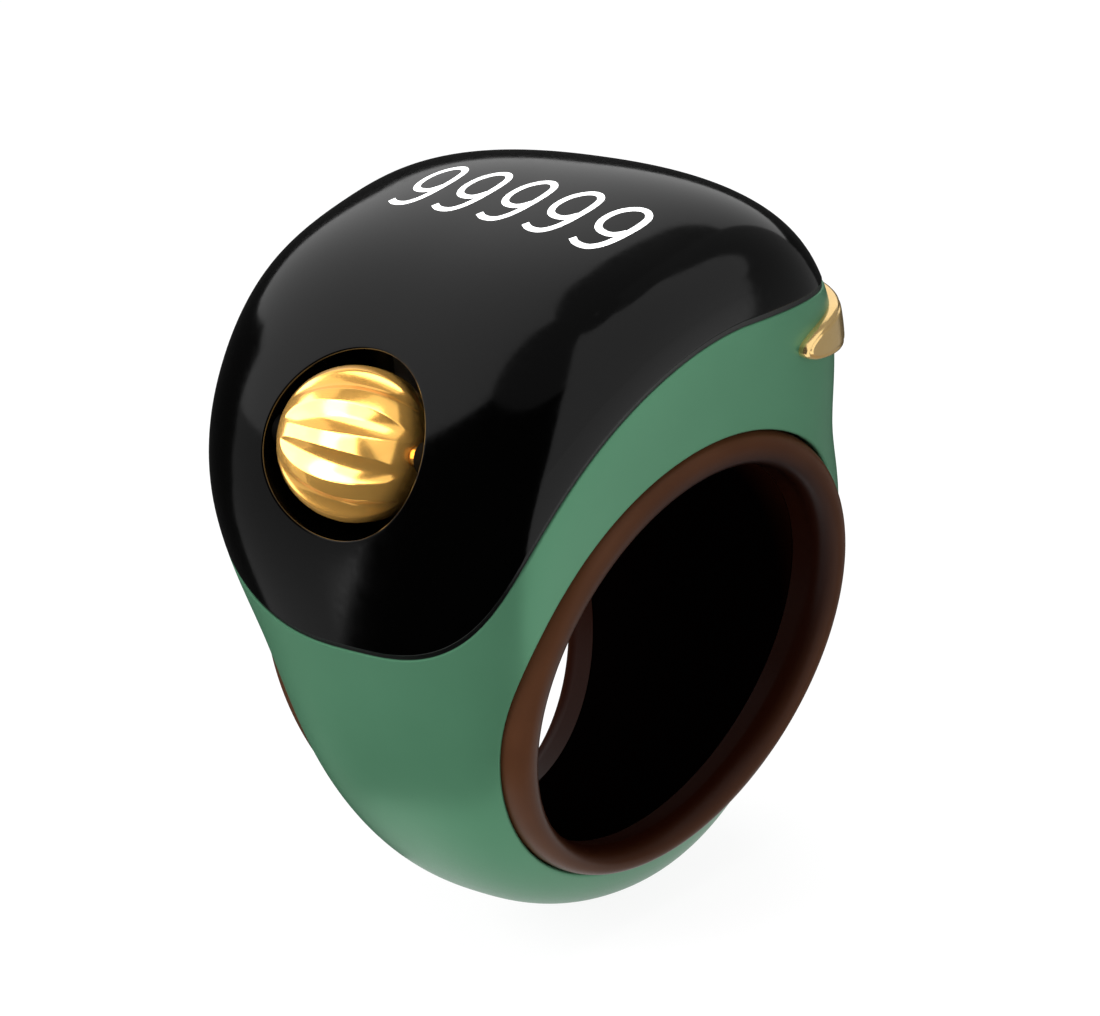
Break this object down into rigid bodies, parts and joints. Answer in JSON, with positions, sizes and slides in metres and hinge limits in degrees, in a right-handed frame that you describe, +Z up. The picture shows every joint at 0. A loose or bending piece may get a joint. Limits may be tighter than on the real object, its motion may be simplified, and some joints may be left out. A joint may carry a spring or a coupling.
{
  "type": "tally counter ring",
  "caption": "Finger ring with a black domed cap, a hidden digit display, a fluted ball roller that counts when turned or pressed, and a lined finger hole.",
  "frame": {"origin": "centre of the finger hole, midway between its mouths", "axes": "+X along the finger hole, to the right side seen from the roller; -Y towards the roller; +Z up to the cap"},
  "size_m": [0.025, 0.03, 0.0358],
  "materials": {
    "cap_black": "gloss",
    "ring_green": "satin",
    "liner_brown": "gloss",
    "seal_black": "matte",
    "gold": "polished",
    "steel": "satin",
    "frame_plastic": "matte",
    "battery_shell": "satin",
    "board_green": "satin",
    "chip_black": "matte",
    "contact_gold": "satin",
    "display_dark": "gloss",
    "ribbon_amber": "satin",
    "pad_foam": "matte"
  },
  "bodies": {
    "housing": {"top_cap": "cap_black", "ring_body": "ring_green", "cap_seal": "seal_black", "inner_liner": "liner_brown", "bead_right": "liner_brown", "bead_left": "liner_brown", "press_switch": "steel", "switch_plunger": "chip_black", "cradle_springs": "steel", "hall_sensor": "chip_black", "inner_frame": "frame_plastic", "frame_screws": "steel", "battery_cell": "battery_shell", "battery_tabs": "contact_gold", "circuit_board": "board_green", "controller_chip": "chip_black", "radio_chip": "chip_black", "board_parts": "contact_gold", "antenna": "battery_shell", "display_panel": "display_dark", "display_frame": "frame_plastic", "display_flex": "ribbon_amber", "vibration_motor": "steel", "motor_pad": "pad_foam", "charging_contacts": "contact_gold", "rear_band": "gold", "band_pins": "steel"},
    "cradle": {"roller_cradle": "frame_plastic"},
    "roller": {"roller_drum": "gold", "roller_axle": "steel", "roller_magnet": "steel"}
  },
  "joints": [
    {"name": "roller_press", "type": "slide", "parent": "housing", "child": "cradle", "axis": [0, 0.9703, -0.2419], "range_m": [0, 0.00035], "stiffness_N_per_m": 800, "springref_m": -0.0004},
    {"name": "roller_spin", "type": "hinge", "parent": "cradle", "child": "roller", "pos_m": [0, -0.01156, 0.01304], "axis": [1, 0, 0], "continuous": true}
  ]
}
